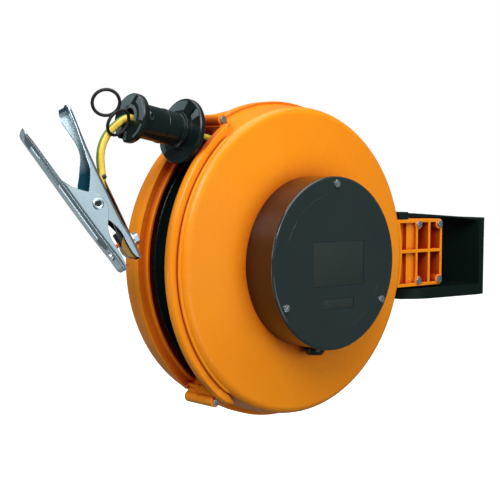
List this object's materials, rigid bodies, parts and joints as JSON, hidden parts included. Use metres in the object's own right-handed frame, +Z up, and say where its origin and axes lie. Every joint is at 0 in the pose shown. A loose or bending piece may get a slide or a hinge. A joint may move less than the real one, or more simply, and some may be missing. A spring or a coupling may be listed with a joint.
{
  "type": "earthing cable reel",
  "caption": "Wall-mounted spring-rewind reel on a swivel bracket, with a yellow and green earthing cable, a bobbin cable stop and a spring-loaded earth clamp.",
  "frame": {"origin": "middle of the four wall bolts, on the back plane of the wall bracket, where the reel is held", "axes": "+X into the wall, -X toward the cable mouth, -Y toward the slip-ring cap (along the drum's axle), +Z up"},
  "size_m": [0.6158, 0.1716, 0.344],
  "materials": {
    "orange_plastic": "glossy moulded orange plastic",
    "black_plastic": "satin black moulded plastic",
    "cap_plastic": "dark grey moulded plastic",
    "rubber": "black rubber",
    "cable_sheath": "yellow sheath with green stripes",
    "zinc_steel": "zinc-plated pressed steel",
    "screw_steel": "zinc-plated screws",
    "dark_steel": "dark oiled steel",
    "spring_steel": "blue-grey spring steel",
    "brass": "bare brass",
    "copper": "bare copper sheet",
    "nylon": "natural nylon",
    "resin": "brown moulded insulating resin",
    "carbon": "carbon"
  },
  "bodies": {
    "bracket": {"wall_bracket": "black_plastic", "wall_inserts": "brass", "swivel_pin": "screw_steel", "swivel_pin_clip": "dark_steel"},
    "reel": {"near_shell": "orange_plastic", "far_shell": "orange_plastic", "swivel_bushes": "nylon", "arm_stop_block": "black_plastic", "arm_screws": "screw_steel", "shell_screws": "screw_steel", "axle": "screw_steel", "axle_washer": "screw_steel", "axle_nut": "screw_steel", "spring_arbor": "dark_steel", "slipring_cap": "cap_plastic", "cap_seal": "rubber", "cap_screws": "screw_steel", "supply_gland": "black_plastic", "gland_nut": "black_plastic", "brush_holder": "resin", "carbon_brush": "carbon", "brush_spring": "spring_steel", "earth_terminal": "brass", "pawl_pin": "screw_steel"},
    "pawl_body": {"pawl": "dark_steel"},
    "drum": {"drum_hub": "black_plastic", "drum_bushes": "brass", "drum_flange_near": "black_plastic", "drum_flange_far": "black_plastic", "ratchet_ring": "dark_steel", "slip_ring_carrier": "resin", "slip_ring": "brass", "spring_case": "dark_steel", "spring_case_cover": "dark_steel", "spring_case_screws": "screw_steel", "mainspring": "spring_steel", "winding_core": "cable_sheath", "cable_winding": "cable_sheath"},
    "cable_end": {"cable_run": "cable_sheath", "stop_half_near": "black_plastic", "stop_half_far": "black_plastic", "stop_screws": "screw_steel", "rubber_loops": "rubber", "free_cord": "cable_sheath", "clamp_upper_lever": "zinc_steel", "clamp_pivot": "screw_steel", "clamp_spring": "spring_steel", "cable_lug": "screw_steel", "contact_bolt": "screw_steel", "contact_nut": "screw_steel", "brass_contact": "brass"},
    "jaw": {"clamp_lower_lever": "zinc_steel", "lower_contact": "copper", "contact_rivet": "screw_steel"}
  },
  "joints": [
    {"name": "reel_swivel", "type": "hinge", "parent": "bracket", "child": "reel", "pos_m": [-0.091, 0, 0.007], "axis": [0, 0, 1], "range_deg": [-75, 75]},
    {"name": "cable_pull", "type": "slide", "parent": "reel", "child": "cable_end", "axis": [-0.9854, 0, 0.1702], "range_m": [0, 0.3], "stiffness_N_per_m": 30, "springref_m": -1, "deforming": ["cable_run"]},
    {"name": "drum_spin", "type": "hinge", "parent": "reel", "child": "drum", "pos_m": [-0.314, 0, 0.007], "axis": [0, -1, 0], "range_deg": [0, 157], "deforming": ["mainspring"]},
    {"name": "pawl_swing", "type": "hinge", "parent": "reel", "child": "pawl_body", "pos_m": [-0.276, 0, -0.05882], "axis": [0, -1, 0], "range_deg": [-8, 1.5]},
    {"name": "clamp_jaw", "type": "hinge", "parent": "cable_end", "child": "jaw", "pos_m": [-0.5537, -0.0106, 0.068], "axis": [0.4406, 0.8831, -0.1615], "range_deg": [0, 20], "stiffness_Nm_per_rad": 1.2, "springref_deg": -34.38, "deforming": ["clamp_spring"]}
  ],
  "couplings": [
    {"joint": "drum_spin", "follows": "cable_pull", "rad_per_m": 9.0909}
  ]
}
